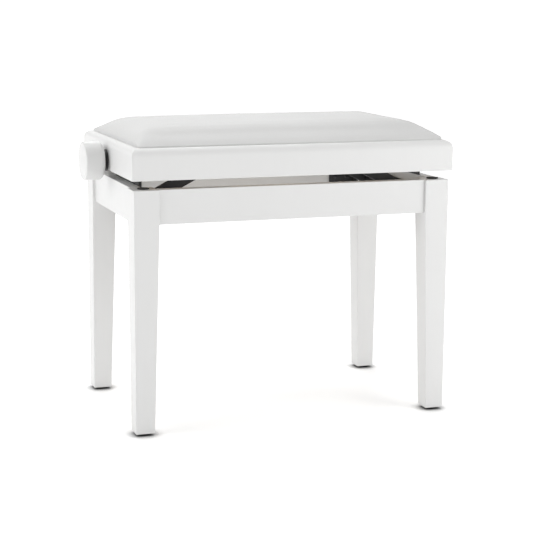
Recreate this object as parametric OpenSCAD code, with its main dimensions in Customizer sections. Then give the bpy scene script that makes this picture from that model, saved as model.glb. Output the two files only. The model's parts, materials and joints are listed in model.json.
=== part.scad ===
// Height-adjustable piano bench.
// Four tapered legs and four aprons make the base. A padded seat rides above it on
// two pairs of swing arms, which a hand knob on the left end opens and closes through
// a screw spindle with a left-hand and a right-hand thread.
// X runs along the bench (the knob is at -X), Y is its depth (the front is at -Y),
// and Z is up. The origin is on the floor, under the middle of the bounding box.

/* [Base] */
// Length of the base over the legs
base_l = 542; // [500:1:560]
// Depth of the base over the legs
base_d = 336; // [320:1:344]
// Height of the base, floor to apron top
base_h = 398.5; // [380:0.5:430]
// Square head of a leg, beside the aprons
leg_head = 41.5; // [40:0.5:44]
// Width of a leg at its foot
leg_foot = 31.5; // [28:0.5:36]
// Height of an apron
apron_h = 55.5; // [52:0.5:60]
// Thickness of an apron
apron_t = 18; // [14:0.5:18]
// How far an apron's face is set back from the leg faces
apron_setback = 4.8; // [4:0.1:5.2]
// Height of a foot glide
glide_h = 4; // [3:0.5:6]
// Radius of a foot glide
glide_r = 9; // [7:0.5:12]
// Radius of a bumper pad
bumper_r = 9.75; // [8:0.25:12]
// Thickness of a bumper pad
bumper_h = 2; // [1.5:0.5:3]

/* [Seat] */
// Length of the seat frame
seat_l = 550; // [545:1:570]
// Depth of the seat frame
seat_d = 347; // [342:1:352]
// Height of a seat rail
seat_rail_h = 50.5; // [50:0.5:60]
// Thickness of a seat rail
seat_rail_t = 20; // [18:0.5:22]
// Radius of the seat rail's top outer edge
seat_edge_r = 13.5; // [6:0.5:13.5]
// Air gap between the base and the seat, as set here
seat_gap = 15.5; // [14:0.5:24]
// Thickness of the plywood under the cushion
board_t = 7.5; // [6:0.5:7.5]
// How far the cushion is set in from the seat frame's face
cushion_inset = 14; // [14:0.5:18]
// Height of the cushion above the seat frame
cushion_h = 33; // [28:1:40]

/* [Lift mechanism] */
// Width of a swing arm's flat steel
arm_w = 21; // [18:0.5:21]
// Thickness of a swing arm
arm_t = 5; // [4:0.5:6]
// Tilt of the arms at this seat height, in degrees
arm_tilt = 27.2; // [26:0.1:29]
// Distance of the lower pivots from the middle of the bench
pivot_x = 234; // [230:0.5:234]
// Depth of the lower pivots below the apron tops
pivot_drop = 28.1; // [27:0.1:30]
// Height of the upper pivots above the seat frame's bottom edge
upper_pivot_rise = 29.5; // [28:0.1:29.5]
// Middle of an arm's thickness, from the middle of the bench
arm_y = 88.2; // [84:0.1:90]
// Height of the spindle above the seat frame's bottom edge
spindle_z_up = 15.5; // [14:0.5:17]
// Radius of the threaded spindle
spindle_r = 7; // [6:0.5:8]

/* [Knob] */
// Radius of the knob
knob_r = 32; // [26:0.5:34]
// Length of the knob
knob_l = 33.5; // [26:0.5:36]
// Gap between the knob and the seat frame
knob_gap = 7; // [6:0.5:12]

/* [Hidden] */

// Colours
paint_white = [0.93, 0.93, 0.92];
leather_white = [0.95, 0.95, 0.94];
black_steel = [0.12, 0.12, 0.13];
zinc = [0.72, 0.73, 0.75];
ply = [0.80, 0.66, 0.46];
beech = [0.85, 0.70, 0.50];
rubber_black = [0.10, 0.10, 0.10];
foam_cream = [0.93, 0.90, 0.80];

// Smoothness: round is for pins and bores, soft is for the cushion's corners
round_fn = 48;
soft_fn = 24;

// Fits
gap = 0.3;
run = 0.05;
eps = 0.5;

// Base levels and faces
half_l = base_l / 2;
half_d = base_d / 2;
apron_z = base_h - apron_h;
apron_in_x = half_l - apron_setback - apron_t;
apron_in_y = half_d - apron_setback - apron_t;
dowel_r = 4;
dowel_l = 36;
dowel_rise = [apron_h * 0.22, apron_h * 0.66];
glide_nail_r = 1.5;
glide_nail_l = 16;
brace_x = 179;
brace_t = 3;
brace_z0 = apron_z + 5;
brace_z1 = base_h - 6;
brace_screw_x = [190, 212];
brace_screw_z = brace_z0 + 22;

// Seat levels and faces
seat_x = seat_l / 2;
seat_y = seat_d / 2;
seat_z = base_h + seat_gap;
frame_top = seat_z + seat_rail_h;
board_z = frame_top - board_t;
rail_in_x = seat_x - seat_rail_t;
rail_in_y = seat_y - seat_rail_t;
pad_x = seat_x - cushion_inset;
pad_y = seat_y - cushion_inset;
block_w = 30;
block_h = 35;
block_screw_x = rail_in_x - block_w * 0.5;
block_screw_y = rail_in_y - block_w * 0.5;

// Lift mechanism
pivot_z = base_h - pivot_drop;
pivot_rod_r = 5;
pivot_tube_r = 8;
ear_t = 3;
ear_y = 98;
bracket_t = 3;
bracket_y = 105;
bracket_z0 = apron_z + 4;
bracket_z1 = pivot_z + 13;
bracket_screw_y = [-70, -25, 25, 70];
ear_reach = 13;
tube_half = ear_y - gap;
upper_pivot_z = seat_z + upper_pivot_rise;
arm_l = (upper_pivot_z - pivot_z) / sin(arm_tilt);
carriage_x = pivot_x - arm_l * cos(arm_tilt);
carriage_w = 20;
carriage_wall = 2;
carriage_half = arm_y - arm_t / 2 - 1.6;
boss_r = 9;
boss_t = 1.1;
rivet_r = 7.5;
rivet_h = 2.2;
nut_size = [26, 30, 26];
strip_t = board_z - (upper_pivot_z + carriage_w / 2) - gap;
strip_w = 20;
strip_y = 62;
strip_l = 440;
plate_t = 3;
plate_x = apron_in_x - 1.2;
plate_z0 = base_h + 1;
plate_screw_x = plate_x + 4;
plate_head_r = 3.5;
plate_screw_y = [-80, 0, 80];
spindle_z = seat_z + spindle_z_up;
bush_r = 12;
bush_flange_r = 18;
bush_flange_t = 2;
bush_right_r = 9;
journal_right_r = 5;
thread_half = plate_x - plate_t - 8;
collar_l = 7;
collar_r = 13;
collar_x0 = -plate_x + plate_t + 0.6;
ring_t = 1.2;
ring_x0 = plate_x + 1.6;
screw_r = 2;
screw_head_r = 4;
screw_head_h = 2.4;

// The knob's outer face, and the shift that puts the origin under the bounding box
knob_dome = 1.5;
knob_rim_r = 3;
knob_heel_r = 9;
knob_dome_r = (pow(knob_r - knob_rim_r, 2) + pow(knob_dome, 2)) / (2 * knob_dome);
insert_r = 10;
insert_l = knob_l * 0.6;
knob_out = seat_x + knob_gap + knob_l + knob_dome;
centre_x = (knob_out - seat_x) / 2;

// ---------- helpers ----------

// Moves the bench so that its bounding box is centred on the origin
module bench() {
    translate([centre_x, 0, 0]) children();
}

// A cylinder along X from x0 to x1
module rod_x(r, x0, x1) {
    translate([x0, 0, 0]) rotate([0, 90, 0]) cylinder(r = r, h = x1 - x0, $fn = round_fn);
}

// A cylinder along Y from y0 to y1
module rod_y(r, y0, y1) {
    translate([0, y1, 0]) rotate([90, 0, 0]) cylinder(r = r, h = y1 - y0, $fn = round_fn);
}

// A box between two corners
module box(a, b) {
    translate(a) cube(b - a);
}

// A screw with a flat round head below it, pointing up from z = 0
module screw_up(length, head_r) {
    cylinder(r = screw_r, h = length, $fn = round_fn);
    translate([0, 0, -screw_head_h]) cylinder(r = head_r, h = screw_head_h, $fn = round_fn);
}

// ---------- base ----------

// Side profile of a leg in the plane of one outer face: the outer edge is upright and
// the inner edge tapers from the aprons to the foot
module leg_profile() {
    polygon([
        [0, glide_h], [leg_foot, glide_h], [leg_head, apron_z], [leg_head, base_h], [0, base_h]
    ]);
}

// Dowels of one leg, in the leg's own frame: those along Y sit a little higher and
// are thinner, so that they pass over those along X inside the leg
module leg_dowels() {
    mid = apron_setback + apron_t / 2;
    for (rise = dowel_rise) {
        translate([0, mid, apron_z + rise])
            rod_x(dowel_r, leg_head - dowel_l / 2, leg_head + dowel_l / 2);
        translate([mid, 0, apron_z + rise + 2 * dowel_r])
            rod_y(dowel_r * 0.75, leg_head - dowel_l / 2, leg_head + dowel_l / 2);
    }
}

// One leg with its outer corner at the origin, growing towards +X and +Y
module leg_blank() {
    difference() {
        intersection() {
            translate([0, base_d, 0]) rotate([90, 0, 0]) linear_extrude(base_d) leg_profile();
            rotate([90, 0, 90]) linear_extrude(base_l) leg_profile();
        }
        leg_dowels();
        translate([leg_foot / 2, leg_foot / 2, glide_h - eps])
            cylinder(r = glide_nail_r, h = glide_nail_l + eps, $fn = round_fn);
    }
}

// Mirrors a piece at the front left to the corner given by the signs (-1 keeps the side)
module to_corner(sx, sy) {
    mirror([sx > 0 ? 1 : 0, 0, 0]) mirror([0, sy > 0 ? 1 : 0, 0]) children();
}

// Puts a piece drawn in a leg's own frame at the corner given by the signs
module at_corner(sx, sy) {
    bench() to_corner(sx, sy) translate([-half_l, -half_d, 0]) children();
}

module leg(sx, sy) {
    color(paint_white) at_corner(sx, sy) leg_blank();
}

module leg_front_left() {
    leg(-1, -1);
}

module leg_front_right() {
    leg(1, -1);
}

module leg_rear_left() {
    leg(-1, 1);
}

module leg_rear_right() {
    leg(1, 1);
}

// All the dowels, or the holes for them
module all_dowels() {
    for (sx = [-1, 1], sy = [-1, 1])
        to_corner(sx, sy) translate([-half_l, -half_d, 0]) leg_dowels();
}

// Apron along X on the front (-1) or the rear (1)
module long_apron(side) {
    color(paint_white) bench() difference() {
        mirror([0, side < 0 ? 1 : 0, 0])
            box([-half_l + leg_head, apron_in_y, apron_z],
                [half_l - leg_head, apron_in_y + apron_t, base_h]);
        all_dowels();
        brace_screw_set();
    }
}

module apron_front() {
    long_apron(-1);
}

module apron_rear() {
    long_apron(1);
}

// Apron along Y on the left (-1) or the right (1), with the holes for its bracket's screws
module short_apron(side) {
    color(paint_white) bench() difference() {
        mirror([side < 0 ? 1 : 0, 0, 0])
            box([apron_in_x, -half_d + leg_head, apron_z],
                [apron_in_x + apron_t, half_d - leg_head, base_h]);
        all_dowels();
        bracket_screw_set(side);
    }
}

module apron_left() {
    short_apron(-1);
}

module apron_right() {
    short_apron(1);
}

module joint_dowels() {
    color(beech) bench() all_dowels();
}

// Screws that hold the corner braces to the long aprons, or the holes for them
module brace_screw_set() {
    for (sx = [-1, 1], sy = [-1, 1], x = brace_screw_x)
        mirror([sx < 0 ? 1 : 0, 0, 0]) mirror([0, sy < 0 ? 1 : 0, 0])
            translate([x, apron_in_y - brace_t, brace_screw_z])
                rotate([-90, 0, 0]) screw_up(brace_t + 14, screw_head_r);
}

// Steel angles in the base's corners: one leaf on a long apron, the other on the leg
module corner_braces() {
    leg_in_x = half_l - leg_head;
    leg_in_y = half_d - leg_head;
    color(black_steel) bench() difference() {
        for (sx = [-1, 1], sy = [-1, 1])
            mirror([sx < 0 ? 1 : 0, 0, 0]) mirror([0, sy < 0 ? 1 : 0, 0]) union() {
                box([brace_x, apron_in_y - brace_t, brace_z0], [leg_in_x, apron_in_y, brace_z1]);
                box([leg_in_x - brace_t, leg_in_y, brace_z0],
                    [leg_in_x, apron_in_y - brace_t / 2, brace_z1]);
            }
        brace_screw_set();
    }
}

module corner_brace_screws() {
    color(zinc) bench() brace_screw_set();
}

// A nail-on glide: a domed foot with a nail up into the leg
module foot_glides() {
    rim = 1;
    color(zinc) for (sx = [-1, 1], sy = [-1, 1]) at_corner(sx, sy)
        translate([leg_foot / 2, leg_foot / 2, 0]) {
            cylinder(r1 = glide_r - rim, r2 = glide_r, h = rim, $fn = round_fn);
            translate([0, 0, rim]) cylinder(r = glide_r, h = glide_h - rim, $fn = round_fn);
            cylinder(r = glide_nail_r, h = glide_h + glide_nail_l, $fn = round_fn);
        }
}

module bumper_pads() {
    color(rubber_black) for (sx = [-1, 1], sy = [-1, 1]) at_corner(sx, sy)
        translate([leg_head / 2, leg_head / 2, base_h])
            cylinder(r = bumper_r, h = bumper_h, $fn = round_fn);
}

// ---------- base brackets and pivots ----------

// Screws that hold a bracket to its apron; side is -1 for left, 1 for right
module bracket_screw_set(side) {
    for (y = bracket_screw_y)
        mirror([side < 0 ? 1 : 0, 0, 0]) translate([apron_in_x - bracket_t, y, bracket_z0 + 8])
            rotate([0, 90, 0]) screw_up(bracket_t + 14, screw_head_r);
}

// Steel plate on the inside of a short apron, with two ears for the pivot rod
module base_bracket(side) {
    color(black_steel) bench() difference() {
        mirror([side < 0 ? 1 : 0, 0, 0]) difference() {
            union() {
                box([apron_in_x - bracket_t, -bracket_y, bracket_z0],
                    [apron_in_x, bracket_y, bracket_z1]);
                for (y0 = [-ear_y - ear_t, ear_y])
                    box([pivot_x - ear_reach, y0, pivot_z - ear_reach],
                        [apron_in_x - bracket_t / 2, y0 + ear_t, bracket_z1]);
            }
            translate([pivot_x, 0, pivot_z]) rod_y(pivot_rod_r, -bracket_y, bracket_y);
        }
        bracket_screw_set(side);
    }
}

module base_bracket_left() {
    base_bracket(-1);
}

module base_bracket_right() {
    base_bracket(1);
}

module base_bracket_screws() {
    color(zinc) bench() for (side = [-1, 1]) bracket_screw_set(side);
}

// Fixed rod through a bracket's ears, with a groove's length left outside for the clip
module pivot_rod(side) {
    reach = ear_y + ear_t + 4;
    color(zinc) bench() translate([side * pivot_x, 0, pivot_z]) rod_y(pivot_rod_r, -reach, reach);
}

module pivot_rod_left() {
    pivot_rod(-1);
}

module pivot_rod_right() {
    pivot_rod(1);
}

// Push-on clips that keep the rods in their brackets
module rod_clips() {
    clip_t = 1.5;
    clip_r = 8;
    color(zinc) bench() for (sx = [-1, 1], y0 = [-ear_y - ear_t - clip_t, ear_y + ear_t])
        translate([sx * pivot_x, y0, pivot_z]) difference() {
            rod_y(clip_r, 0, clip_t);
            rod_y(pivot_rod_r, -eps, clip_t + eps);
        }
}

// ---------- swing arms ----------

// Arm on the left half, its middle plane at the given Y
module arm_left_half(y) {
    translate([-pivot_x, y, pivot_z]) rotate([0, -arm_tilt, 0]) difference() {
        union() {
            rod_y(arm_w / 2, -arm_t / 2, arm_t / 2);
            translate([arm_l, 0, 0]) rod_y(arm_w / 2, -arm_t / 2, arm_t / 2);
            box([0, -arm_t / 2, -arm_w / 2], [arm_l, arm_t / 2, arm_w / 2]);
        }
        rod_y(pivot_tube_r, -arm_t, arm_t);
    }
}

// Arm on the given half (-1 left, 1 right) and side (-1 front, 1 rear)
module arm(half, side) {
    color(black_steel) bench() mirror([half > 0 ? 1 : 0, 0, 0]) arm_left_half(side * arm_y);
}

module arm_front_left() {
    arm(-1, -1);
}

module arm_rear_left() {
    arm(-1, 1);
}

module arm_front_right() {
    arm(1, -1);
}

module arm_rear_right() {
    arm(1, 1);
}

// Tube that joins a front and a rear arm and turns on the pivot rod
module pivot_tube(half) {
    color(black_steel) bench() translate([half * pivot_x, 0, pivot_z]) difference() {
        rod_y(pivot_tube_r, -tube_half, tube_half);
        rod_y(pivot_rod_r + run, -ear_y - eps, ear_y + eps);
    }
}

module pivot_tube_left() {
    pivot_tube(-1);
}

module pivot_tube_right() {
    pivot_tube(1);
}

// Heads of the pins in the arms' upper eyes
module arm_rivets(half) {
    color(zinc) bench() for (side = [-1, 1]) {
        y0 = side < 0 ? -arm_y - arm_t / 2 - rivet_h : arm_y + arm_t / 2;
        translate([half * carriage_x, y0, upper_pivot_z]) rod_y(rivet_r, 0, rivet_h);
    }
}

module arm_rivets_left() {
    arm_rivets(-1);
}

module arm_rivets_right() {
    arm_rivets(1);
}

// ---------- seat frame ----------

// Cross section of a seat rail: X is from its outer face inwards, Y is up.
// The top outer edge is rounded, and the top inner edge has a step for the board.
module rail_section() {
    difference() {
        union() {
            square([seat_rail_t, seat_rail_h - seat_edge_r]);
            translate([seat_edge_r, 0]) square([seat_rail_t - seat_edge_r, seat_rail_h]);
            intersection() {
                translate([seat_edge_r, seat_rail_h - seat_edge_r])
                    circle(r = seat_edge_r, $fn = round_fn);
                square([seat_rail_t, seat_rail_h]);
            }
        }
        translate([cushion_inset, seat_rail_h - board_t]) square([seat_rail_t, board_t + eps]);
    }
}

// Triangle-ended plan of a mitred rail of half length a and thickness t, seen from above
module mitre_plan(a, t) {
    polygon([[-a, -t], [a, -t], [a - 2 * t, t], [-a + 2 * t, t]]);
}

// Rail along X with its outer face at -Y
module long_rail() {
    intersection() {
        translate([-seat_x, -seat_y, seat_z]) rotate([90, 0, 90])
            linear_extrude(seat_l) rail_section();
        translate([0, -seat_y + seat_rail_t, seat_z - eps])
            linear_extrude(seat_rail_h + 2 * eps) mitre_plan(seat_x, seat_rail_t);
    }
}

// Rail along Y with its outer face at -X
module short_rail() {
    intersection() {
        translate([-seat_x, seat_y, seat_z]) rotate([90, 0, 0])
            linear_extrude(seat_d) rail_section();
        translate([-seat_x + seat_rail_t, 0, seat_z - eps]) rotate([0, 0, -90])
            linear_extrude(seat_rail_h + 2 * eps) mitre_plan(seat_y, seat_rail_t);
    }
}

module seat_rail_front() {
    color(paint_white) bench() long_rail();
}

module seat_rail_rear() {
    color(paint_white) bench() mirror([0, 1, 0]) long_rail();
}

// The left rail has a through hole for the spindle's bush
module seat_rail_left() {
    color(paint_white) bench() difference() {
        short_rail();
        translate([0, 0, spindle_z]) rod_x(bush_r, -seat_x - eps, -rail_in_x + eps);
    }
}

module seat_rail_right() {
    color(paint_white) bench() mirror([1, 0, 0]) short_rail();
}

// Screws up through the corner blocks into the board, or the holes for them
module block_screw_set() {
    for (sx = [-1, 1], sy = [-1, 1])
        translate([sx * block_screw_x, sy * block_screw_y, board_z - block_h])
            screw_up(block_h + board_t - 2, screw_head_r);
}

module corner_blocks() {
    color(beech) bench() difference() {
        for (sx = [-1, 1], sy = [-1, 1]) to_corner(sx, sy)
            box([-rail_in_x, -rail_in_y, board_z - block_h],
                [-rail_in_x + block_w, -rail_in_y + block_w, board_z]);
        block_screw_set();
    }
}

module block_screws() {
    color(zinc) bench() block_screw_set();
}

module seat_board() {
    play = 0.2;
    color(ply) bench() difference() {
        box([-pad_x + play, -pad_y + play, board_z], [pad_x - play, pad_y - play, frame_top]);
        block_screw_set();
        plate_screw_set();
    }
}

// ---------- cushion ----------

// Steps of the crowned pad: how far in from the cushion's edge, and how high, as a
// share of the cushion's height
pad_steps = [[0.5, 0.15], [20, 0.45], [46, 0.77], [70, 0.92], [110, 1]];
pad_corner_r = 12;
skin_t = 1.6;

// Crowned pad with upright edges, sloped shoulders and a low dome, shrunk by s
module pad_form(s) {
    hull() for (step = pad_steps, sx = [-1, 1], sy = [-1, 1])
        translate([sx * (pad_x - step[0] - s - pad_corner_r),
            sy * (pad_y - step[0] - s - pad_corner_r), frame_top])
            cylinder(r = pad_corner_r, h = cushion_h * step[1] - s, $fn = soft_fn);
}

module cushion_foam() {
    color(foam_cream) bench() pad_form(skin_t);
}

// Upholstery over the foam, open towards the board
module cushion_cover() {
    color(leather_white) bench() difference() {
        pad_form(0);
        pad_form(skin_t);
    }
}

// ---------- seat side of the mechanism ----------

// Screws up through an end plate's flange into the board, or the holes for them
module plate_screw_set() {
    for (sx = [-1, 1], y = plate_screw_y)
        translate([sx * plate_screw_x, y, board_z - plate_t])
            screw_up(plate_t + board_t - 2, plate_head_r);
}

// Steel angle at one end of the seat, which hangs down past the seat frame
module end_plate(side, hole_r) {
    color(black_steel) bench() difference() {
        mirror([side < 0 ? 1 : 0, 0, 0]) union() {
            box([plate_x - plate_t, -bracket_y, plate_z0], [plate_x, bracket_y, board_z]);
            box([plate_x - plate_t, -bracket_y, board_z - plate_t],
                [rail_in_x - gap, bracket_y, board_z]);
        }
        plate_screw_set();
        translate([side * plate_x, 0, spindle_z]) rod_x(hole_r, -2 * plate_t, 2 * plate_t);
    }
}

module end_plate_left() {
    end_plate(-1, spindle_r + gap);
}

module end_plate_right() {
    end_plate(1, bush_right_r);
}

module end_plate_screws() {
    color(zinc) bench() plate_screw_set();
}

// Strips under the board that the carriages slide along
module slide_strips() {
    color(black_steel) bench() for (sy = [-1, 1])
        translate([-strip_l / 2, sy * strip_y - strip_w / 2, board_z - strip_t])
            cube([strip_l, strip_w, strip_t]);
}

// Flanged bush in the left rail, with a nose towards the knob
module spindle_bush_left() {
    color(black_steel) bench() translate([0, 0, spindle_z]) difference() {
        union() {
            rod_x(bush_r, -seat_x - knob_gap + 1, -rail_in_x);
            rod_x(bush_flange_r, -seat_x - bush_flange_t, -seat_x);
        }
        rod_x(spindle_r + run, -seat_x - knob_gap, -rail_in_x + eps);
    }
}

// Bush in the right end plate
module spindle_bush_right() {
    color(zinc) bench() translate([0, 0, spindle_z]) difference() {
        union() {
            rod_x(bush_right_r, plate_x - plate_t, plate_x + 1);
            rod_x(bush_right_r + 3, plate_x - plate_t - 2, plate_x - plate_t);
        }
        rod_x(journal_right_r + run, plate_x - 4 * plate_t, plate_x + 2);
    }
}

// ---------- spindle and knob ----------

module spindle() {
    color(zinc) bench() translate([0, 0, spindle_z]) difference() {
        union() {
            rod_x(spindle_r, -seat_x - knob_gap - insert_l, thread_half);
            rod_x(journal_right_r, thread_half, plate_x + 5);
        }
        collar_screw_place();
    }
}

// Ring that takes the spindle's end load against the left end plate
module thrust_collar() {
    color(zinc) bench() translate([0, 0, spindle_z]) difference() {
        rod_x(collar_r, collar_x0, collar_x0 + collar_l);
        rod_x(spindle_r, collar_x0 - 1, collar_x0 + collar_l + 1);
        collar_screw_place();
    }
}

module collar_screw_place() {
    translate([collar_x0 + collar_l / 2, 0, -collar_r])
        cylinder(r = 1.5, h = collar_r - spindle_r + 1, $fn = round_fn);
}

module collar_screw() {
    color(black_steel) bench() translate([0, 0, spindle_z]) collar_screw_place();
}

module retaining_ring() {
    color(zinc) bench() translate([0, 0, spindle_z]) difference() {
        rod_x(journal_right_r + 3.5, ring_x0, ring_x0 + ring_t);
        rod_x(journal_right_r, ring_x0 - eps, ring_x0 + ring_t + eps);
    }
}

// Half section of the knob: X is the radius, Y is the distance out from its inner end
module knob_section() {
    heel = knob_r - knob_heel_r;
    rim = knob_r - knob_rim_r;
    translate([0, knob_heel_r]) square([knob_r, knob_l - knob_heel_r - knob_rim_r]);
    square([heel, knob_l]);
    translate([heel, knob_heel_r]) circle(r = knob_heel_r, $fn = round_fn);
    translate([0, knob_l - knob_rim_r - eps]) square([rim, knob_rim_r + eps]);
    translate([rim, knob_l - knob_rim_r]) circle(r = knob_rim_r, $fn = round_fn);
    intersection() {
        translate([0, knob_l + knob_dome - knob_dome_r]) circle(r = knob_dome_r, $fn = 4 * round_fn);
        square([rim, knob_l + knob_dome]);
    }
}

module knob() {
    color(paint_white) bench() translate([-seat_x - knob_gap, 0, spindle_z]) rotate([0, -90, 0])
        difference() {
            rotate_extrude($fn = 2 * round_fn) knob_section();
            translate([0, 0, -eps]) cylinder(r = insert_r, h = insert_l + eps, $fn = round_fn);
        }
}

// Metal insert pressed into the knob and onto the spindle
module knob_insert() {
    color(zinc) bench() translate([-seat_x - knob_gap, 0, spindle_z]) rotate([0, -90, 0])
        difference() {
            cylinder(r = insert_r, h = insert_l, $fn = round_fn);
            translate([0, 0, -eps]) cylinder(r = spindle_r, h = insert_l + 2 * eps, $fn = round_fn);
        }
}

// ---------- carriages ----------

// Cross tube with a boss at each end for the arms' upper pins
module carriage(half) {
    w = carriage_w / 2;
    inner = w - carriage_wall;
    color(black_steel) bench() translate([half * carriage_x, 0, 0]) difference() {
        union() {
            translate([0, 0, upper_pivot_z]) difference() {
                box([-w, -carriage_half, -w], [w, carriage_half, w]);
                box([-inner, -carriage_half + 2, -inner], [inner, carriage_half - 2, inner]);
            }
            for (y0 = [-carriage_half - boss_t, carriage_half])
                translate([0, y0, upper_pivot_z]) rod_y(boss_r, 0, boss_t);
        }
        nut_space();
    }
}

// Block that the nut fills, centred on the spindle
module nut_space() {
    translate([-nut_size[0] / 2, -nut_size[1] / 2, spindle_z - nut_size[2] / 2]) cube(nut_size);
}

module carriage_left() {
    carriage(-1);
}

module carriage_right() {
    carriage(1);
}

// Nut block on the spindle, let into the underside of the carriage
module nut(half) {
    color(zinc) bench() translate([half * carriage_x, 0, 0]) difference() {
        nut_space();
        translate([0, 0, spindle_z]) rod_x(spindle_r + run, -nut_size[0], nut_size[0]);
    }
}

module nut_left() {
    nut(-1);
}

module nut_right() {
    nut(1);
}

leg_front_left();
leg_front_right();
leg_rear_left();
leg_rear_right();
apron_front();
apron_rear();
apron_left();
apron_right();
joint_dowels();
corner_braces();
corner_brace_screws();
foot_glides();
bumper_pads();
base_bracket_left();
base_bracket_right();
base_bracket_screws();
pivot_rod_left();
pivot_rod_right();
rod_clips();
arm_front_left();
arm_rear_left();
pivot_tube_left();
arm_rivets_left();
arm_front_right();
arm_rear_right();
pivot_tube_right();
arm_rivets_right();
seat_rail_front();
seat_rail_rear();
seat_rail_left();
seat_rail_right();
corner_blocks();
block_screws();
seat_board();
cushion_foam();
cushion_cover();
end_plate_left();
end_plate_right();
end_plate_screws();
slide_strips();
spindle_bush_left();
spindle_bush_right();
spindle();
thrust_collar();
collar_screw();
retaining_ring();
knob();
knob_insert();
carriage_left();
nut_left();
carriage_right();
nut_right();
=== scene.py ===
import json
import math
import bmesh
import bpy
from mathutils import Matrix, Vector

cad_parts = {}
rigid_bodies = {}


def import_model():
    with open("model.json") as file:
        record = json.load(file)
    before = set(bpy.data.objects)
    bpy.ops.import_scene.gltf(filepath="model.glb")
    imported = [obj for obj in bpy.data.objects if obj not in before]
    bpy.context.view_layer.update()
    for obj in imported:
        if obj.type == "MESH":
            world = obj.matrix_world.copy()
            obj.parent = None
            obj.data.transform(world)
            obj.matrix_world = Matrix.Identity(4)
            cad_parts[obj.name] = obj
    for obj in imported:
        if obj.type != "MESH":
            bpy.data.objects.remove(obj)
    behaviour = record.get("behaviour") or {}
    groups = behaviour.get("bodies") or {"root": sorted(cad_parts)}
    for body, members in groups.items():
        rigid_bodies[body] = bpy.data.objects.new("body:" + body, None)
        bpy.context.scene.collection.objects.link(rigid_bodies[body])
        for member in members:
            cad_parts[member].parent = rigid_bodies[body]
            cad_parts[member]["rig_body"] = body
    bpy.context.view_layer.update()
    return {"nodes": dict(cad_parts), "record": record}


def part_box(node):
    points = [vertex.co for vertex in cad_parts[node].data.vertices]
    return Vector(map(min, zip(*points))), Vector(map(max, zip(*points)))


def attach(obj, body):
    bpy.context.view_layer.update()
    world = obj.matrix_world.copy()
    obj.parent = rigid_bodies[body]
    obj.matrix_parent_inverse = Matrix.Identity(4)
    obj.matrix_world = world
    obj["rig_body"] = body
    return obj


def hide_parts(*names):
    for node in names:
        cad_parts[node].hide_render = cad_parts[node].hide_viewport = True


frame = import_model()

nodes = frame["nodes"]
slot_of = {part["node"]: part["material_slot"] for part in frame["record"]["subparts"]}
MM = 0.001
# Distances below this count as none
NEAR = 0.001 * MM

# ---------------------------------------------------------------- camera

LENS = 97.26
CAM_AT = Vector((-0.80852, -2.40591, 0.70457))
CAM_YAW = 0.3405
CAM_PITCH = 0.1881
CAM_ROLL = -0.0073


def make_camera():
    fwd = Vector((math.sin(CAM_YAW) * math.cos(CAM_PITCH),
                  math.cos(CAM_YAW) * math.cos(CAM_PITCH), -math.sin(CAM_PITCH)))
    right = Vector((math.cos(CAM_YAW), -math.sin(CAM_YAW), 0))
    down = fwd.cross(right)
    x = math.cos(CAM_ROLL) * right + math.sin(CAM_ROLL) * down
    y = math.sin(CAM_ROLL) * right - math.cos(CAM_ROLL) * down
    data = bpy.data.cameras.new("camera")
    data.lens = LENS
    data.sensor_width = 36
    data.clip_start = 0.05
    data.clip_end = 400
    cam = bpy.data.objects.new("camera", data)
    cam.matrix_world = Matrix((
        (x.x, y.x, -fwd.x, CAM_AT.x),
        (x.y, y.y, -fwd.y, CAM_AT.y),
        (x.z, y.z, -fwd.z, CAM_AT.z),
        (0, 0, 0, 1)))
    bpy.context.scene.collection.objects.link(cam)
    bpy.context.scene.camera = cam


# ---------------------------------------------------------------- materials

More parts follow.
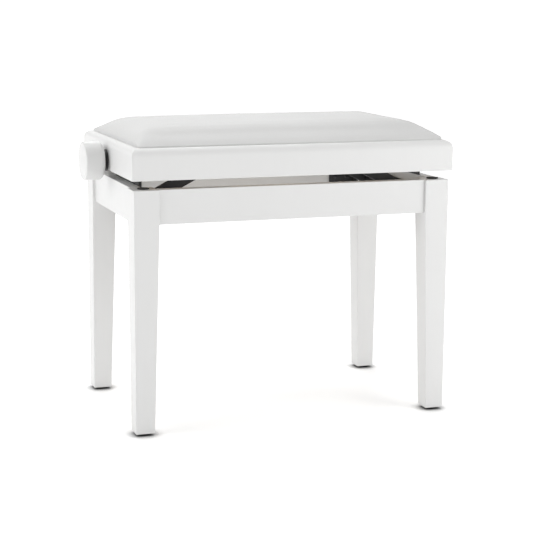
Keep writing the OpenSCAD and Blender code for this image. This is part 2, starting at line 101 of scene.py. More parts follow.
class Nodes:
    """Short calls for building one material's node tree."""

    def __init__(self, name, **sockets):
        self.mat = bpy.data.materials.new(name)
        self.mat.use_nodes = True
        self.tree = self.mat.node_tree
        self.bsdf = self.tree.nodes["Principled BSDF"]
        self.coord = self.tree.nodes.new("ShaderNodeTexCoord").outputs["Object"]
        for socket, value in sockets.items():
            self.bsdf.inputs[socket.replace("_", " ")].default_value = value

    def node(self, kind, **props):
        n = self.tree.nodes.new(kind)
        for k, v in props.items():
            setattr(n, k, v)
        return n

    def link(self, a, b):
        self.tree.links.new(a, b)

    def stretched(self, scale):
        n = self.node("ShaderNodeMapping")
        n.inputs["Scale"].default_value = scale
        self.link(self.coord, n.inputs["Vector"])
        return n.outputs["Vector"]

    def noise(self, scale, detail=3.0, rough=0.5, along=None, distortion=0.0):
        n = self.node("ShaderNodeTexNoise")
        n.inputs["Scale"].default_value = scale
        n.inputs["Detail"].default_value = detail
        n.inputs["Roughness"].default_value = rough
        n.inputs["Distortion"].default_value = distortion
        self.link(along or self.coord, n.inputs["Vector"])
        return n.outputs["Fac"]

    def cells(self, scale, feature="F1", along=None):
        n = self.node("ShaderNodeTexVoronoi", feature=feature)
        n.inputs["Scale"].default_value = scale
        self.link(along or self.coord, n.inputs["Vector"])
        return n.outputs["Distance"]

    def ramp(self, fac, *stops):
        n = self.node("ShaderNodeValToRGB")
        elements = n.color_ramp.elements
        while len(elements) < len(stops):
            elements.new(0.5)
        for e, (at, col) in zip(elements, stops):
            e.position = at
            e.color = (*col, 1)
        self.link(fac, n.inputs["Fac"])
        return n.outputs["Color"]

    def spread(self, fac, lo, hi, at=(0.3, 0.7)):
        n = self.node("ShaderNodeMapRange")
        n.inputs["From Min"].default_value = at[0]
        n.inputs["From Max"].default_value = at[1]
        n.inputs["To Min"].default_value = lo
        n.inputs["To Max"].default_value = hi
        self.link(fac, n.inputs["Value"])
        return n.outputs["Result"]

    def mix(self, fac, a, b):
        n = self.node("ShaderNodeMix", data_type="RGBA")
        if isinstance(fac, float):
            n.inputs[0].default_value = fac
        else:
            self.link(fac, n.inputs[0])
        self.link(a, n.inputs[6])
        self.link(b, n.inputs[7])
        return n.outputs[2]

    def maths(self, kind, a, b=0.0):
        n = self.node("ShaderNodeMath", operation=kind)
        for i, v in enumerate((a, b)):
            if isinstance(v, float):
                n.inputs[i].default_value = v
            else:
                self.link(v, n.inputs[i])
        return n.outputs[0]

    def bump(self, height, strength, distance, after=None):
        n = self.node("ShaderNodeBump")
        n.inputs["Strength"].default_value = strength
        n.inputs["Distance"].default_value = distance
        self.link(height, n.inputs["Height"])
        if after:
            self.link(after, n.inputs["Normal"])
        return n.outputs["Normal"]

    def use(self, colour=None, rough=None, normal=None):
        for value, socket in ((colour, "Base Color"), (rough, "Roughness"), (normal, "Normal")):
            if value:
                self.link(value, self.bsdf.inputs[socket])
        return self.mat


LACQUER_LOW = (0.675, 0.675, 0.67)
LACQUER_HIGH = (0.69, 0.69, 0.685)


def white_lacquer():
    m = Nodes("white_lacquer", Coat_Weight=0.15, Coat_Roughness=0.25, IOR=1.46)
    broad = m.noise(4, 3)
    fibre = m.noise(1, 3, 0.5, m.stretched((70, 70, 12)))
    colour = m.mix(0.4, m.ramp(broad, (0.3, LACQUER_LOW), (0.7, LACQUER_HIGH)),
                   m.ramp(fibre, (0.3, LACQUER_LOW), (0.7, LACQUER_HIGH)))
    peel = m.noise(650, 1, 0.3)
    return m.use(colour, m.spread(m.noise(45, 2), 0.34, 0.40), m.bump(peel, 0.04, 0.0002))


def white_leatherette():
    m = Nodes("white_leatherette", IOR=1.42)
    broad = m.noise(7, 4)
    grain = m.cells(620, "DISTANCE_TO_EDGE")
    fine = m.noise(1500, 3)
    wrinkle = m.noise(1, 4, 0.55, m.stretched((55, 80, 55)), 0.6)
    body = m.ramp(broad, (0.3, (0.565, 0.565, 0.56)), (0.7, (0.587, 0.587, 0.582)))
    # Darker colour in the grain's creases: painted shade
    grain_crease_shade = m.ramp(grain, (0.0, (0.515, 0.515, 0.51)), (0.12, (0.592, 0.592, 0.587)))
    height = m.maths("ADD", m.spread(grain, 0.0, 1.0, (0.0, 0.22)), m.maths("MULTIPLY", fine, 0.3))
    normal = m.bump(height, 0.22, 0.00025, m.bump(wrinkle, 0.10, 0.0015))
    return m.use(m.mix(0.25, body, grain_crease_shade), m.spread(m.noise(300, 3), 0.44, 0.58), normal)


def black_steel():
    m = Nodes("black_steel", IOR=1.5)
    speck = m.noise(1400, 2)
    broad = m.noise(18, 4)
    colour = m.ramp(broad, (0.3, (0.010, 0.010, 0.011)), (0.75, (0.022, 0.022, 0.023)))
    return m.use(colour, m.spread(broad, 0.36, 0.52), m.bump(speck, 0.18, 0.0002))


def zinc_steel():
    m = Nodes("zinc_steel", Metallic=1.0)
    spangle = m.cells(160)
    lines = m.noise(1, 4, 0.6, m.stretched((60, 700, 700)))
    colour = m.mix(0.5, m.ramp(spangle, (0.0, (0.50, 0.51, 0.54)), (0.8, (0.66, 0.66, 0.65))),
                   m.ramp(lines, (0.35, (0.54, 0.54, 0.55)), (0.65, (0.68, 0.68, 0.68))))
    return m.use(colour, m.spread(m.noise(90, 4), 0.24, 0.42), m.bump(lines, 0.08, 0.0002))


# Zinc for the glides: its tone is darkened nearly to black as painted shade under the legs, and
# the scuffs are random wear
def shaded_zinc():
    m = Nodes("glide_zinc_painted_shade", Metallic=1.0)
    scuff = m.noise(220, 4, 0.6)
    colour = m.ramp(scuff, (0.35, (0.05, 0.05, 0.052)), (0.7, (0.14, 0.14, 0.14)))
    return m.use(colour, m.spread(scuff, 0.3, 0.5), m.bump(scuff, 0.1, 0.0003))


def black_rubber():
    m = Nodes("black_rubber", IOR=1.5)
    dust = m.noise(260, 5, 0.65)
    colour = m.ramp(dust, (0.4, (0.016, 0.016, 0.016)), (0.75, (0.040, 0.040, 0.040)))
    return m.use(colour, m.spread(dust, 0.62, 0.82), m.bump(m.noise(900, 3), 0.25, 0.0003))


def black_nylon():
    m = Nodes("black_nylon", IOR=1.53)
    flow = m.noise(1, 3, 0.5, m.stretched((20, 90, 90)))
    colour = m.ramp(flow, (0.3, (0.014, 0.014, 0.015)), (0.75, (0.030, 0.030, 0.031)))
    return m.use(colour, m.spread(flow, 0.38, 0.55), m.bump(m.noise(1100, 2), 0.12, 0.0002))


def beech():
    m = Nodes("beech", IOR=1.45)
    grain = m.noise(1, 6, 0.6, m.stretched((30, 30, 340)), 0.4)
    fleck = m.cells(1, along=m.stretched((500, 500, 160)))
    colour = m.mix(m.spread(fleck, 0.25, 0.0, (0.0, 0.35)),
                   m.ramp(grain, (0.3, (0.50, 0.33, 0.19)), (0.7, (0.68, 0.49, 0.31))),
                   m.ramp(grain, (0.3, (0.36, 0.22, 0.12)), (0.7, (0.46, 0.30, 0.17))))
    return m.use(colour, m.spread(grain, 0.5, 0.7), m.bump(grain, 0.2, 0.0003))


def plywood(low, high):
    m = Nodes("plywood", IOR=1.45)
    split = m.node("ShaderNodeSeparateXYZ")
    m.link(m.coord, split.inputs[0])
    plies = 5
    share = m.spread(split.outputs["Z"], 0.0, float(plies), (low, high))
    ply = m.maths("GREATER_THAN", m.maths("MODULO", share, 2.0), 1.0)
    along = m.noise(1, 6, 0.6, m.stretched((14, 210, 210)), 0.5)
    across = m.noise(1, 5, 0.6, m.stretched((210, 14, 210)), 0.5)
    colour = m.mix(ply, m.ramp(along, (0.3, (0.52, 0.37, 0.21)), (0.7, (0.70, 0.54, 0.34))),
                   m.ramp(across, (0.3, (0.36, 0.24, 0.13)), (0.7, (0.48, 0.33, 0.19))))
    return m.use(colour, m.spread(along, 0.55, 0.75), m.bump(along, 0.25, 0.0004))


def foam():
    m = Nodes("foam", IOR=1.4)
    cell = m.cells(900)
    colour = m.ramp(cell, (0.1, (0.62, 0.57, 0.42)), (0.6, (0.84, 0.80, 0.66)))
    return m.use(colour, m.spread(cell, 0.85, 0.95), m.bump(cell, 0.5, 0.0006))


board_low, board_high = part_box("seat_board")
materials = {
    "white_lacquer": white_lacquer(),
    "white_leatherette": white_leatherette(),
    "black_steel": black_steel(),
    "zinc_steel": zinc_steel(),
    "black_rubber": black_rubber(),
    "black_nylon": black_nylon(),
    "beech": beech(),
    "plywood": plywood(board_low.z, board_high.z),
    "foam": foam(),
}
# The glides' zinc, darkened as painted shade
glide_shaded_zinc = shaded_zinc()

for name, o in nodes.items():
    o.data.materials.clear()
    o.data.materials.append(materials[slot_of[name]])

# ---------------------------------------------------------------- mesh helpers

SMOOTH = math.radians(32)


def piece(name, bm, node_names, material=None, weighted=True):
    """Turns a bmesh into a piece that stands for those CAD nodes and rides on their body."""
    bmesh.ops.recalc_face_normals(bm, faces=bm.faces)
    for f in bm.faces:
        f.smooth = True
    for e in bm.edges:
        e.smooth = len(e.link_faces) == 2 and e.calc_face_angle(0) < SMOOTH
    mesh = bpy.data.meshes.new(name)
    bm.to_mesh(mesh)
    bm.free()
    o = bpy.data.objects.new(name, mesh)
    bpy.context.scene.collection.objects.link(o)
    slot = slot_of[node_names[0]]
    mesh.materials.append(material or materials[slot])
    if weighted:
        mod = o.modifiers.new("weighted", "WEIGHTED_NORMAL")
        mod.keep_sharp = True
    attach(o, nodes[node_names[0]]["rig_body"])
    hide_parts(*node_names)
    return o


def welded(node):
    """The CAD node's mesh with its split corners joined and its flat faces whole."""
    bm = bmesh.new()
    bm.from_mesh(nodes[node].data)
    bmesh.ops.remove_doubles(bm, verts=bm.verts, dist=2e-6)
    bmesh.ops.dissolve_limit(bm, angle_limit=math.radians(0.6), verts=bm.verts, edges=bm.edges)
    return bm


def bevel(bm, width, segments=2, angle=38):
    edges = [e for e in bm.edges if len(e.link_faces) == 2
             and e.calc_face_angle(0) > math.radians(angle)]
    bmesh.ops.bevel(bm, geom=edges, offset=width, offset_type="OFFSET", segments=segments,
                    profile=0.5, affect="EDGES", clamp_overlap=True)


def skin(bm, rings):
    """Joins equal rings of vertices, each to the next, with four-sided faces."""
    for a, b in zip(rings, rings[1:]):
        n = len(a)
        for i in range(n):
            bm.faces.new((a[i], a[(i + 1) % n], b[(i + 1) % n], b[i]))


def loft(bm, rings):
    """Joins equal rings of points into one closed skin; the rings are lists of Vectors."""
    made = [[bm.verts.new(p) for p in ring] for ring in rings]
    skin(bm, made)
    bm.faces.new(made[0])
    bm.faces.new(made[-1])


def lathe(bm, profile, at, axis, segments=48):
    """A turned solid: profile is (radius, distance along the axis) from one end to the other."""
    axis = Vector(axis).normalized()
    side = axis.orthogonal().normalized()
    other = axis.cross(side)
    rings = []
    for r, h in profile:
        rings.append([Vector(at) + axis * h + (side * math.cos(a) + other * math.sin(a)) * r
                      for a in (2 * math.pi * i / segments for i in range(segments))])
    loft(bm, rings)


def fillet(profile, radius, steps=4):
    """Rounds the inner corners of a (radius, distance) profile."""
    out = [profile[0]]
    for a, b, c in zip(profile, profile[1:], profile[2:]):
        a, b, c = Vector(a), Vector(b), Vector(c)
        u, v = (a - b), (c - b)
        r = min(radius, u.length * 0.45, v.length * 0.45)
        p, q = b + u.normalized() * r, b + v.normalized() * r
        for i in range(steps + 1):
            t = i / steps
            w = p.lerp(b, t).lerp(b.lerp(q, t), t)
            out.append((w.x, w.y))
    return out + [profile[-1]]


def centre(node):
    lo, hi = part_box(node)
    return (lo + hi) / 2


# ---------------------------------------------------------------- wooden parts

SIDES = ("front", "rear", "left", "right")
APRON_EDGE = 0.7 * MM
LEG_EDGE = 1.0 * MM


def wooden_box(node):
    lo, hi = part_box(node)
    bm = bmesh.new()
    bmesh.ops.create_cube(bm, size=1, matrix=Matrix.Translation((lo + hi) / 2)
                          @ Matrix.Diagonal((*(hi - lo), 1)))
    bevel(bm, APRON_EDGE, 3)
    return piece(node + "_finish", bm, [node])


def leg(node, apron_low):
    """The leg as one skin, tapered below the aprons, with the widths of its CAD node."""
    lo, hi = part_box(node)
    out_x = -1 if (lo.x + hi.x) / 2 < centre("seat_board").x else 1
    out_y = -1 if (lo.y + hi.y) / 2 < 0 else 1
    corner = Vector((lo.x if out_x < 0 else hi.x, lo.y if out_y < 0 else hi.y, 0))
    verts = [v.co for v in nodes[node].data.vertices]

    def width(z):
        return round(max(abs(v.x - corner.x) for v in verts if abs(v.z - z) < 1e-5), 5)

    foot, head = width(lo.z), width(hi.z)
    rings = []
    for w, z in ((foot, lo.z), (head, apron_low), (head, hi.z)):
        rings.append([Vector((corner.x - out_x * a * w, corner.y - out_y * b * w, z))
                      for a, b in ((0, 0), (1, 0), (1, 1), (0, 1))])
    bm = bmesh.new()
    loft(bm, rings)
    bmesh.ops.remove_doubles(bm, verts=bm.verts, dist=1e-6)
    bmesh.ops.recalc_face_normals(bm, faces=bm.faces)
    bmesh.ops.dissolve_limit(bm, angle_limit=math.radians(0.5), verts=bm.verts, edges=bm.edges)
    bevel(bm, LEG_EDGE, 3, 30)
    return piece(node + "_finish", bm, [node])


apron_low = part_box("apron_front")[0].z
for side in ("front_left", "front_right", "rear_left", "rear_right"):
    leg("leg_" + side, apron_low)
for side in SIDES:
    wooden_box("apron_" + side)

# The seat rails: one section carried along each side and half way round each corner
RAIL_CORNER = 1.5 * MM
RAIL_EDGE = 13.4 * MM
RAIL_FOOT = 1.2 * MM
# Small flats on the rail's inner edges
RAIL_EASE = 0.5 * MM
LEDGE_EASE = 0.2 * MM
BOARD_GAP = 0.2 * MM


def rail_section(height, thick, ledge, step):
    """Points (distance in from the outer face, height) round a rail's section."""
    points = [(RAIL_FOOT * (1 - math.sin(a)), RAIL_FOOT * (1 - math.cos(a)))
              for a in (math.pi / 2 * i / 3 for i in range(4))]
    turns = [math.pi / 2 * i / 12 for i in range(13)] + [math.acos(1 - RAIL_CORNER / RAIL_EDGE)]
    top = [(RAIL_EDGE * (1 - math.cos(a)), height - RAIL_EDGE * (1 - math.sin(a)))
           for a in sorted(turns)]
    shelf = height - step
    inner = [(ledge - LEDGE_EASE, height), (ledge, height - LEDGE_EASE), (ledge, shelf),
             (thick - RAIL_EASE, shelf), (thick, shelf - RAIL_EASE),
             (thick, RAIL_EASE), (thick - RAIL_EASE, 0)]
    return points + top + inner


def seat_rail(node, along, out):
    """along is the rail's direction and out its outward normal, both unit vectors."""
    boxes = [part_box("seat_rail_" + side) for side in SIDES]
    lo_all = Vector([min(box[0][i] for box in boxes) for i in range(3)])
    hi_all = Vector([max(box[1][i] for box in boxes) for i in range(3)])
    mid = (lo_all + hi_all) / 2
    half = (hi_all - lo_all) / 2
    reach = abs(half.dot(Vector(map(abs, along))))
    depth = abs(half.dot(Vector(map(abs, out))))
    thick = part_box("seat_rail_rear")[1].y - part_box("seat_rail_rear")[0].y
    ledge = board_low.y - lo_all.y - BOARD_GAP
    step = board_high.z - board_low.z
    section = rail_section(hi_all.z - lo_all.z, thick, ledge, step)
    base = Vector((mid.x, mid.y, lo_all.z))

    def ring(end, angle):
        """One section at the end's corner arc, angle 0 at the straight and 45 at the mitre."""
        c = base + along * end * (reach - RAIL_CORNER) + out * (depth - RAIL_CORNER)
        turn = out * math.cos(angle) + along * end * math.sin(angle)
        pts = []
        for t, h in section:
            if t < RAIL_CORNER - NEAR:
                p = c + turn * (RAIL_CORNER - t)
            else:
                p = c - (out + along * end) * (t - RAIL_CORNER)
            pts.append(p + Vector((0, 0, h)))
        return pts

    steps = [math.pi / 4 * i / 5 for i in range(6)]
    rings = [ring(-1, a) for a in reversed(steps)] + [ring(1, a) for a in steps]
    bm = bmesh.new()
    loft(bm, rings)
    bmesh.ops.remove_doubles(bm, verts=bm.verts, dist=1e-6)
    return piece(node + "_finish", bm, [node])


rails = {}
for side, along, out in (("front", (1, 0, 0), (0, -1, 0)), ("rear", (1, 0, 0), (0, 1, 0)),
                         ("left", (0, 1, 0), (-1, 0, 0)), ("right", (0, 1, 0), (1, 0, 0))):
    rails[side] = seat_rail("seat_rail_" + side, Vector(along), Vector(out))


def bored(o, at, axis, radius, reach):
    """Cuts a round hole right through a piece, for good."""
    bm = bmesh.new()
    lathe(bm, [(radius, -reach), (radius, reach)], at, axis, 64)
    bmesh.ops.recalc_face_normals(bm, faces=bm.faces)
    mesh = bpy.data.meshes.new("bore")
    bm.to_mesh(mesh)
    bm.free()
    cutter = bpy.data.objects.new("bore", mesh)
    bpy.context.scene.collection.objects.link(cutter)
    mod = o.modifiers.new("bore", "BOOLEAN")
    mod.operation = "DIFFERENCE"
    mod.object = cutter
    mod.solver = "EXACT"
    o.modifiers.move(len(o.modifiers) - 1, 0)
    weighted = o.modifiers.get("weighted")
    if weighted:
        weighted.show_viewport = False
    cut = bpy.data.meshes.new_from_object(o.evaluated_get(bpy.context.evaluated_depsgraph_get()))
    o.modifiers.remove(mod)
    if weighted:
        weighted.show_viewport = True
    o.data = cut
    bpy.data.objects.remove(cutter)


BUSH_HOLE_R = 12 * MM
bush_at = (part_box("seat_rail_left")[0].x, centre("spindle").y, centre("spindle").z)
bored(rails["left"], bush_at, (1, 0, 0), BUSH_HOLE_R, 40 * MM)

# ---------------------------------------------------------------- steel parts

for node in ("arm_front_left", "arm_rear_left", "arm_front_right", "arm_rear_right"):
    bm = welded(node)
    bevel(bm, 0.5 * MM, 2, 50)
    piece(node + "_finish", bm, [node])

for node in ("end_plate_left", "end_plate_right", "base_bracket_left", "base_bracket_right",
             "carriage_left", "carriage_right", "corner_braces"):
    bm = welded(node)
    bevel(bm, 0.3 * MM, 2, 50)
    piece(node + "_finish", bm, [node])

# Edges broken on the smaller parts: node, width in mm
BROKEN = [("pivot_rod_left", 0.6), ("pivot_rod_right", 0.6), ("rod_clips", 0.2),
          ("pivot_tube_left", 0.3), ("pivot_tube_right", 0.3), ("arm_rivets_left", 0.8),
          ("arm_rivets_right", 0.8), ("slide_strips", 0.4), ("spindle_bush_left", 0.4),
          ("spindle_bush_right", 0.3), ("thrust_collar", 0.5), ("retaining_ring", 0.15),
          ("nut_left", 0.6), ("nut_right", 0.6), ("corner_blocks", 1.0), ("joint_dowels", 0.6)]
for node, width in BROKEN:
    bm = welded(node)
    bevel(bm, width * MM, 2, 50)
    piece(node + "_finish", bm, [node])

# Screws: pan heads with a cross recess on threaded, pointed shanks. Recess and dome are shares
# of the head's radius or height; root, pitch and point are shares of the shank's radius.
CROSS_REACH = 0.5
CROSS_WIDTH = 0.11
CROSS_DEPTH = 0.55
HEAD_DOME = 0.45
SCREW_ROOT = 0.74
SCREW_PITCH = 0.75
SCREW_POINT = 1.8
SCREW_SIDES = 40


def islands(bm):
    """The separate solids of a mesh, each as a list of points, in the order of its vertices."""
    seen = set()
    for first in bm.verts:
        if first in seen:
            continue
        seen.add(first)
        points, edge = [], [first]
        while edge:
            v = edge.pop()
            points.append(v.co.copy())
            for e in v.link_edges:
                w = e.other_vert(v)
                if w not in seen:
                    seen.add(w)
                    edge.append(w)
        yield points


def screw(bm, points):
    """One screw on the axis and with the sizes of its CAD solid."""
    lo = Vector([min(p[i] for p in points) for i in range(3)])
    hi = Vector([max(p[i] for p in points) for i in range(3)])
    k = max(range(3), key=lambda i: (hi - lo)[i])
    mid = (lo + hi) / 2

    def far(p):
        return math.sqrt(sum((p[i] - mid[i]) ** 2 for i in range(3) if i != k))

    head_r = max(far(p) for p in points)
    shank_r = min(far(p) for p in points if far(p) > 0.5 * MM)
    head_low = max(far(p) for p in points if p[k] - lo[k] < 0.01 * MM) > head_r * 0.9
    axis = Vector([0, 0, 0])
    axis[k] = 1 if head_low else -1
    start = mid.copy()
    start[k] = lo[k] if head_low else hi[k]
    length = hi[k] - lo[k]
    head_h = max(abs(p[k] - start[k]) for p in points if far(p) > head_r * 0.9)
    side = axis.orthogonal().normalized()
    other = axis.cross(side)

    def ring(r, h, sunk=0.0):
        pts = []
        for i in range(SCREW_SIDES):
            a = 2 * math.pi * i / SCREW_SIDES
            x, y = r * math.cos(a), r * math.sin(a)
            drop = 0.0
            if sunk and r < CROSS_REACH * head_r and min(abs(x), abs(y)) < CROSS_WIDTH * head_r:
                drop = sunk
            pts.append(start + side * x + other * y + axis * (h + drop))
        return pts

    rings = []
    for share in (0.04, 0.12, 0.2, 0.3, 0.4, 0.48, 0.54, 0.7, 0.85, 0.95, 1.0):
        dome = head_h * HEAD_DOME * share ** 3
        rings.append(ring(head_r * share, dome, head_h * CROSS_DEPTH))
    rings.append(ring(head_r, head_h * 0.8))
    rings.append(ring(head_r * 0.96, head_h))
    rings.append(ring(shank_r, head_h))
    tip, pitch = length - SCREW_POINT * shank_r, SCREW_PITCH * shank_r
    h = head_h + pitch
    while h + pitch < tip:
        rings.append(ring(shank_r, h))
        rings.append(ring(shank_r * SCREW_ROOT, h + pitch * 0.35))
        rings.append(ring(shank_r * SCREW_ROOT, h + pitch * 0.65))
        h += pitch
    rings.append(ring(shank_r, h))
    rings.append(ring(shank_r * 0.12, length))
    loft(bm, rings)


for node in ("base_bracket_screws", "corner_brace_screws", "block_screws", "end_plate_screws"):
    source = welded(node)
    bm = bmesh.new()
    for points in islands(source):
        screw(bm, points)
    source.free()
    piece(node + "_finish", bm, [node], weighted=False)


def thread_height(turns):
    """Share of a rounded trapezoid thread's height at that many turns along it."""
    t = abs((turns % 1) * 2 - 1)
    return min(1, max(0, (t - 0.22) / 0.34))


def spindle():
    """A rod with a two-start thread of each hand, plain between them and at its ends."""
    lo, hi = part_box("spindle")
    at = centre("spindle")
    crest = (hi.z - lo.z) / 2
    root = crest - 1.7 * MM
    journal = 5 * MM
    ease = 0.6 * MM
    lead, starts = 8 * MM, 2
    mid = centre("seat_board").x
    # The left-hand thread runs from left0 to left1, the right-hand one from right0 to right1
    left0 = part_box("thrust_collar")[1].x + 5 * MM
    left1, right0 = mid - 18 * MM, mid + 18 * MM
    right1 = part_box("end_plate_right")[0].x - 8 * MM
    run_out = 3 * MM
    step, around = 0.5 * MM, 32
    xs = [lo.x, lo.x + ease]
    x = left0 - 2 * MM
    xs.append(x)
    while x < right1:
        x += step if (x < left1 or x >= right0 - step) else 4 * MM
        xs.append(min(x, right1))
    rings = []
    for x in xs:
        ring = []
        for i in range(around):
            a = 2 * math.pi * i / around
            r = crest
            if left0 < x < left1 or right0 < x < right1:
                hand = 1 if x < mid else -1
                run = (left0, left1) if x < mid else (right0, right1)
                fade = min(1, (x - run[0]) / run_out, (run[1] - x) / run_out)
                turns = starts * (x / lead + hand * a / (2 * math.pi))
                r = crest - (crest - root) * fade * (1 - thread_height(turns))
            if x == xs[0]:
                r = crest - ease
            ring.append(Vector((x, at.y + r * math.cos(a), at.z + r * math.sin(a))))
        rings.append(ring)
    for x, r in ((right1 + 0.01 * MM, journal), (hi.x - ease, journal), (hi.x, journal - ease)):
        rings.append([Vector((x, at.y + r * math.cos(a), at.z + r * math.sin(a)))
                      for a in (2 * math.pi * i / around for i in range(around))])
    bm = bmesh.new()
    loft(bm, rings)
    return piece("spindle_threaded", bm, ["spindle"], weighted=False)


spindle()


def knob():
    """A turned knob: a rounded heel towards the seat, a rounded rim and a slightly domed end."""
    lo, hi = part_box("knob")
    at = Vector((hi.x, centre("knob").y, centre("knob").z))
    r = (hi.z - lo.z) / 2
    length = hi.x - lo.x
    dome = 1.5 * MM
    heel, rim = 9 * MM, 3 * MM
    insert = (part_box("knob_insert")[1].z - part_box("knob_insert")[0].z) / 2
    profile = [(insert, 0.0)]
    for i in range(10):
        a = math.pi / 2 * i / 9
        profile.append((r - heel + heel * math.sin(a), heel * (1 - math.cos(a))))
    for i in range(7):
        a = math.pi / 2 * i / 6
        profile.append((r - rim + rim * math.cos(a), length - dome - rim + rim * math.sin(a)))
    flat = r - rim
    for i in range(1, 13):
        q = flat * (1 - i / 12)
        profile.append((max(q, 0.4 * MM), length - dome * (q / flat) ** 2))
    bm = bmesh.new()
    lathe(bm, profile, at, (-1, 0, 0), 96)
    return piece("knob_finish", bm, ["knob"], weighted=False)


knob()


BUMPER_R = 9.75 * MM
GLIDE_R = 9 * MM
# Radius at which the flat ends of a turned piece close
POLE_R = 0.5 * MM


def bumpers():
    bm = bmesh.new()
    lo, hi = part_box("bumper_pads")
    tall, radius = hi.z - lo.z, BUMPER_R
    profile = fillet([(POLE_R, 0), (radius, 0), (radius, tall), (POLE_R, tall)], 0.8 * MM)
    for x in (lo.x + radius, hi.x - radius):
        for y in (lo.y + radius, hi.y - radius):
            lathe(bm, profile, (x, y, lo.z), (0, 0, 1))
    return piece("bumper_pads_finish", bm, ["bumper_pads"])


bumpers()


def glides():
    bm = bmesh.new()
    lo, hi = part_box("foot_glides")
    tall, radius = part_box("leg_front_left")[0].z - lo.z, GLIDE_R
    profile = [(POLE_R, 0.0), (radius - 2.2 * MM, 0.0), (radius - 0.9 * MM, 0.45 * MM),
               (radius - 0.2 * MM, 1.2 * MM), (radius, 2.0 * MM), (radius, tall - 0.3 * MM),
               (radius - 0.3 * MM, tall), (POLE_R, tall)]
    for x in (lo.x + radius, hi.x - radius):
        for y in (lo.y + radius, hi.y - radius):
            lathe(bm, profile, (x, y, lo.z), (0, 0, 1))
    return piece("foot_glides_finish", bm, ["foot_glides"], glide_shaded_zinc)


glides()

# ---------------------------------------------------------------- cushion

PAD_CORNER = 3 * MM
PAD_GRID = 5.5 * MM
PAD_HIP = 3.5 * MM
PAD_WALL = 2.5 * MM
PAD_LOWEST = 2.0 * MM
PAD_REACH = 1.0 * MM
# Height of the cushion above the ledge by distance in from its edge, both in mm
PAD_ENDS = [(0, 6.3), (5, 10.8), (10, 14.6), (20, 20.6), (32, 26.8), (46, 29.7),
            (58, 30.8), (70, 31.2), (90, 31.6), (120, 31.8), (160, 32.0), (280, 32.0)]
PAD_SIDES = [(0, 2.0), (5, 4.8), (10, 7.0), (20, 10.6), (37, 16.6), (60, 29.0),
             (66, 30.0), (90, 31.0), (120, 31.7), (160, 32.0), (200, 32.0)]
# How far each point of a profile is averaged with its neighbours, in mm
PAD_BLEND = 5
# How much softer the hips are at the left end
PAD_SOFT = 7 * MM
# The foot of the pad is held still while it swells, and free this far above its wall
PAD_FREE = 5 * MM
SWELL = 0.8 * MM
SWELL_PRESSURE = 4
SWELL_FRAMES = 20
# The wall under the pad's edge: share of its height, distance pulled in there
WALL_LEVELS = [(0.15, 0.0), (0.5, 0.15 * MM), (0.85, 0.1 * MM)]
FOOT_TUCK = 0.2 * MM


def crown(profile, inset):
    """The profile's height at that distance in, averaged over PAD_BLEND mm to each side."""
    def at(d):
        for (x0, y0), (x1, y1) in zip(profile, profile[1:]):
            if d <= x1:
                return y0 + (y1 - y0) * (d - x0) / (x1 - x0)
        return profile[-1][1]
    d = max(0.0, inset / MM)
    reach = min(PAD_BLEND, d)
    return sum(at(d + reach * i / 4) for i in range(-4, 5)) / 9 * MM


def soft_min(a, b, k):
    h = max(k - abs(a - b), 0) / k
    return min(a, b) - h * h * k / 4


def pad_plan(half, nx, ny):
    """Plan points of the pad: an even grid whose outermost corners follow the rounded corners."""
    rows = []
    for j in range(ny + 1):
        row = []
        for i in range(nx + 1):
            x, y = half.x * (2 * i / nx - 1), half.y * (2 * j / ny - 1)
            cx, cy = half.x - PAD_CORNER, half.y - PAD_CORNER
            ox, oy = abs(x) - cx, abs(y) - cy
            if ox > 0 and oy > 0:
                far = max(ox, oy)
                v = Vector((ox, oy)).normalized() * far
                x, y = math.copysign(cx + v.x, x), math.copysign(cy + v.y, y)
            row.append((x, y))
        rows.append(row)
    return rows


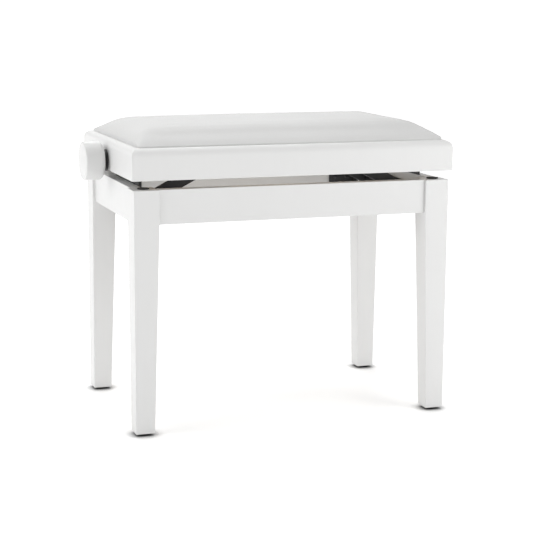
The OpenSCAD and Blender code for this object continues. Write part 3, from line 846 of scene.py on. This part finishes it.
def cushion():
    """The crowned pad: a top and a flat bottom joined by a low wall, swollen and smoothed."""
    lo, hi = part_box("cushion_cover")
    mid, half = (lo + hi) / 2, (hi - lo) / 2 + Vector((PAD_REACH, PAD_REACH, 0))
    nx, ny = round(2 * half.x / PAD_GRID), round(2 * half.y / PAD_GRID)
    plan = pad_plan(half, nx, ny)
    bm = bmesh.new()
    top, bottom = [], []
    for row in plan:
        top.append([])
        bottom.append([])
        for x, y in row:
            hip = PAD_HIP + PAD_SOFT * max(0, -x / half.x)
            rise = soft_min(crown(PAD_ENDS, half.x - abs(x)),
                            crown(PAD_SIDES, half.y - abs(y)), hip)
            z = lo.z + max(PAD_LOWEST, rise)
            top[-1].append(bm.verts.new((mid.x + x, mid.y + y, z)))
            bottom[-1].append(bm.verts.new((mid.x + x, mid.y + y, lo.z)))
    for j in range(ny):
        for i in range(nx):
            bm.faces.new((top[j][i], top[j][i + 1], top[j + 1][i + 1], top[j + 1][i]))
            bm.faces.new((bottom[j][i], bottom[j + 1][i], bottom[j + 1][i + 1], bottom[j][i + 1]))

    def border(g):
        return (g[0][:-1] + [row[-1] for row in g[:-1]]
                + g[-1][:0:-1] + [row[0] for row in g[:0:-1]])

    upper, lower = border(top), border(bottom)
    levels = [lower]
    for share, inset in WALL_LEVELS:
        ring = []
        for a, b in zip(lower, upper):
            p = a.co.lerp(b.co, share)
            inward = Vector((mid.x - p.x, mid.y - p.y, 0)).normalized() * inset
            ring.append(bm.verts.new(p + inward))
        levels.append(ring)
    levels.append(upper)
    skin(bm, levels)
    for v in lower:
        inward = Vector((mid.x - v.co.x, mid.y - v.co.y, 0)).normalized()
        v.co += inward * FOOT_TUCK
    bmesh.ops.recalc_face_normals(bm, faces=bm.faces)
    grain_crease_shade = bm.edges.layers.float.new("crease_edge")
    for a, b in zip(lower, lower[1:] + lower[:1]):
        foot = bm.edges.get((a, b))
        foot[grain_crease_shade] = 1.0
        foot.smooth = False
    mesh = bpy.data.meshes.new("cushion")
    bm.to_mesh(mesh)
    bm.free()
    o = bpy.data.objects.new("cushion", mesh)
    bpy.context.scene.collection.objects.link(o)
    puff(o, lo.z)
    sub = o.modifiers.new("subdivision", "SUBSURF")
    sub.levels = sub.render_levels = 1
    for p in o.data.polygons:
        p.use_smooth = True
    o.data.materials.append(materials["white_leatherette"])
    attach(o, "seat_unit")
    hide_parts("cushion_cover", "cushion_foam")
    return o


def puff(o, base):
    """Swells the pad with cloth pressure, held along its foot, each point by at most SWELL."""
    group = o.vertex_groups.new(name="held")
    for v in o.data.vertices:
        above = v.co.z - base - PAD_WALL
        hold = 1.0 if above < 0.01 * MM else max(0.0, 1 - above / PAD_FREE)
        group.add([v.index], hold, "REPLACE")
    rest = [v.co.copy() for v in o.data.vertices]
    mod = o.modifiers.new("puff", "CLOTH")
    s = mod.settings
    s.quality = 4
    s.use_pressure = True
    s.uniform_pressure_force = SWELL_PRESSURE
    s.effector_weights.gravity = 0
    s.vertex_group_mass = "held"
    s.tension_stiffness = 20
    s.compression_stiffness = 20
    s.bending_stiffness = 2
    scene = bpy.context.scene
    for f in range(1, SWELL_FRAMES + 1):
        scene.frame_set(f)
    swollen = o.evaluated_get(bpy.context.evaluated_depsgraph_get())
    found = [v.co.copy() for v in swollen.to_mesh().vertices]
    swollen.to_mesh_clear()
    o.modifiers.clear()
    scene.frame_set(1)
    for v, a, b in zip(o.data.vertices, rest, found):
        d = b - a
        if d.length > SWELL:
            d = d.normalized() * SWELL
        v.co = a + d


cushion()

# ---------------------------------------------------------------- floor and light

FLOOR_R = 150
# Distance from the middle and glow there
FLOOR_NEAR = (0.8, 0.30)
FLOOR_FAR = (5.0, 0.65)
# How far the painted shadow beside a piece reaches on the floor, and how strongly it darkens
PAINTED_SHADOW_REACH = 0.018
PAINTED_SHADOW_DEPTH = 2.2
SKY = 0.46
HORIZON = 1.33
# Each light's name, place, target, two sides and power
LIGHTS = [("overhead", (0.0, 0.3, 2.4), (0, 0, 0.4), 1.6, 1.6, 16.2),
          ("behind", (0.2, 2.4, 2.2), (0, 0, 0.4), 2.4, 1.4, 29.5),
          ("left", (-2.4, -0.3, 1.3), (0, 0, 0.35), 1.8, 1.6, 19.5),
          ("right_near", (1.25, -1.15, 0.75), (0.1, 0, 0.35), 0.8, 0.8, 8.0)]


def floor():
    """A pale floor: it glows more away from the object, to stay white, and less at its feet, where
    a painted shadow darkens its glow and its colour beside each piece.
    """
    bm = bmesh.new()
    bmesh.ops.create_circle(bm, cap_ends=True, radius=FLOOR_R, segments=64)
    mesh = bpy.data.meshes.new("floor")
    bm.to_mesh(mesh)
    bm.free()
    o = bpy.data.objects.new("floor", mesh)
    m = Nodes("floor", Roughness=0.9)
    m.bsdf.inputs["Specular IOR Level"].default_value = 0.0
    m.bsdf.inputs["Emission Color"].default_value = (1, 1, 1, 1)
    away = m.node("ShaderNodeVectorMath", operation="LENGTH")
    m.link(m.coord, away.inputs[0])
    glow = m.spread(away.outputs["Value"], FLOOR_NEAR[1], FLOOR_FAR[1],
                    (FLOOR_NEAR[0], FLOOR_FAR[0]))
    tone = m.ramp(m.noise(1.5), (0.3, (0.90, 0.90, 0.90)), (0.7, (0.92, 0.92, 0.92)))
    # Painted shadow: ambient occlusion darkens the floor's colour and its glow beside each piece
    painted_shadow = m.node("ShaderNodeAmbientOcclusion", samples=8)
    painted_shadow.inputs["Distance"].default_value = PAINTED_SHADOW_REACH
    m.link(tone, painted_shadow.inputs["Color"])
    m.link(m.maths("MULTIPLY", glow, m.maths("POWER", painted_shadow.outputs["AO"], PAINTED_SHADOW_DEPTH)),
           m.bsdf.inputs["Emission Strength"])
    mesh.materials.append(m.use(painted_shadow.outputs["Color"]))
    bpy.context.scene.collection.objects.link(o)


def area(name, at, to, size_x, size_y, power):
    data = bpy.data.lights.new(name, "AREA")
    data.shape = "RECTANGLE"
    data.size = size_x
    data.size_y = size_y
    data.energy = power
    o = bpy.data.objects.new(name, data)
    o.location = at
    o.rotation_mode = "QUATERNION"
    o.rotation_quaternion = (Vector(to) - Vector(at)).to_track_quat("-Z", "Y")
    bpy.context.scene.collection.objects.link(o)


def world(sky, horizon):
    """White all round: brighter at the horizon than overhead."""
    w = bpy.data.worlds.new("studio")
    bpy.context.scene.world = w
    w.use_nodes = True
    tree = w.node_tree
    back = tree.nodes["Background"]
    coord = tree.nodes.new("ShaderNodeTexCoord")
    split = tree.nodes.new("ShaderNodeSeparateXYZ")
    up = tree.nodes.new("ShaderNodeMapRange")
    up.inputs["From Min"].default_value = 0.06
    up.inputs["From Max"].default_value = 0.3
    up.inputs["To Min"].default_value = horizon
    up.inputs["To Max"].default_value = sky
    tree.links.new(coord.outputs["Generated"], split.inputs[0])
    tree.links.new(split.outputs["Z"], up.inputs["Value"])
    tree.links.new(up.outputs["Result"], back.inputs["Strength"])
    back.inputs["Color"].default_value = (1, 1, 1, 1)


make_camera()
floor()
world(SKY, HORIZON)
for light in LIGHTS:
    area(*light)
bpy.context.scene.view_settings.view_transform = "Standard"
